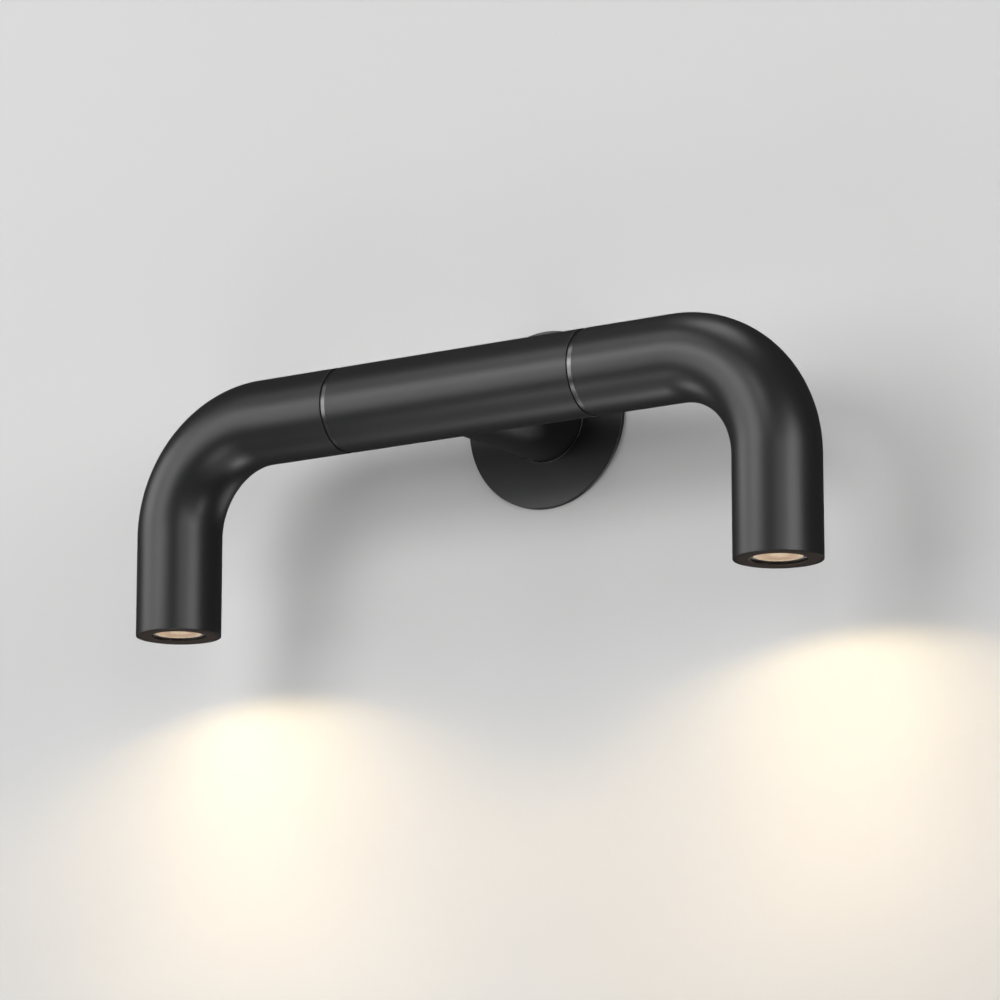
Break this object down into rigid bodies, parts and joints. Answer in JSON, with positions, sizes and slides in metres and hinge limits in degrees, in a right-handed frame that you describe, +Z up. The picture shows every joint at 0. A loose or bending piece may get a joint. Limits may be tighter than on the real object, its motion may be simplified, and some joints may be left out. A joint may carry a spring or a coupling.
{
  "type": "outdoor wall light",
  "caption": "Wall light of round black tube: a bar on a wall neck with a swivelling elbow head at each end, lamps facing down.",
  "frame": {"origin": "middle of the wall bracket's back face, on the wall, on the neck's axis", "axes": "+Y into the wall, so the light stands off towards -Y; +X to the right along the bar seen from the front; +Z up"},
  "size_m": [0.546, 0.132, 0.2085],
  "materials": {
    "tube_coat": "anthracite black fine-texture powder coat, matt",
    "bezel_coat": "black matt lacquer",
    "ring_metal": "black anodised, glossy",
    "plate_steel": "zinc plated",
    "screw_steel": "stainless",
    "turned_aluminium": "plain turned",
    "seal_rubber": "soft silicone rubber",
    "gasket_foam": "closed-cell foam",
    "lead_cover": "silicone insulation",
    "washer_plastic": "low-friction plastic",
    "terminal_plastic": "moulded",
    "driver_plastic": "moulded, potted",
    "holder_plastic": "black moulded",
    "board_white": "white solder resist",
    "chip_yellow": "phosphor coat",
    "lens_clear": "clear moulded optic",
    "glass_clear": "clear tempered"
  },
  "bodies": {
    "wall_body": {"wall_bracket": "plate_steel", "neck_spigot": "turned_aluminium", "spigot_screws": "screw_steel", "cable_grommet": "seal_rubber", "rosette": "tube_coat", "rosette_gasket": "gasket_foam", "neck_tube": "tube_coat", "neck_grub_screws": "screw_steel", "bar_tube": "tube_coat", "terminal_strap": "plate_steel", "strap_screws": "screw_steel", "terminal_block": "terminal_plastic", "terminal_screws": "screw_steel", "supply_leads": "lead_cover", "driver_tray": "turned_aluminium", "driver_case": "driver_plastic", "driver_screws": "screw_steel", "left_output_lead": "lead_cover", "left_swivel_hub": "ring_metal", "left_stop_pin": "screw_steel", "left_thrust_washer": "washer_plastic", "left_disc_spring": "screw_steel", "left_ring_nut": "turned_aluminium", "right_output_lead": "lead_cover", "right_swivel_hub": "ring_metal", "right_stop_pin": "screw_steel", "right_thrust_washer": "washer_plastic", "right_disc_spring": "screw_steel", "right_ring_nut": "turned_aluminium"},
    "left_head": {"left_elbow_tube": "tube_coat", "left_swivel_collar": "turned_aluminium", "left_swivel_seal": "seal_rubber", "left_head_lead": "lead_cover", "left_heat_sink": "turned_aluminium", "left_led_board": "board_white", "left_led_chip": "chip_yellow", "left_board_screws": "screw_steel", "left_lens": "lens_clear", "left_lens_holder": "holder_plastic", "left_cover_glass": "glass_clear", "left_glass_seal": "seal_rubber", "left_bezel": "bezel_coat", "left_bezel_seal": "seal_rubber"},
    "right_head": {"right_elbow_tube": "tube_coat", "right_swivel_collar": "turned_aluminium", "right_swivel_seal": "seal_rubber", "right_head_lead": "lead_cover", "right_heat_sink": "turned_aluminium", "right_led_board": "board_white", "right_led_chip": "chip_yellow", "right_board_screws": "screw_steel", "right_lens": "lens_clear", "right_lens_holder": "holder_plastic", "right_cover_glass": "glass_clear", "right_glass_seal": "seal_rubber", "right_bezel": "bezel_coat", "right_bezel_seal": "seal_rubber"}
  },
  "joints": [
    {"name": "left_head_swivel", "type": "hinge", "parent": "wall_body", "child": "left_head", "pos_m": [-0.1005, -0.102, 0], "axis": [-1, 0, 0], "range_deg": [-30, 210]},
    {"name": "right_head_swivel", "type": "hinge", "parent": "wall_body", "child": "right_head", "pos_m": [0.1005, -0.102, 0], "axis": [-1, 0, 0], "range_deg": [-30, 210]}
  ]
}
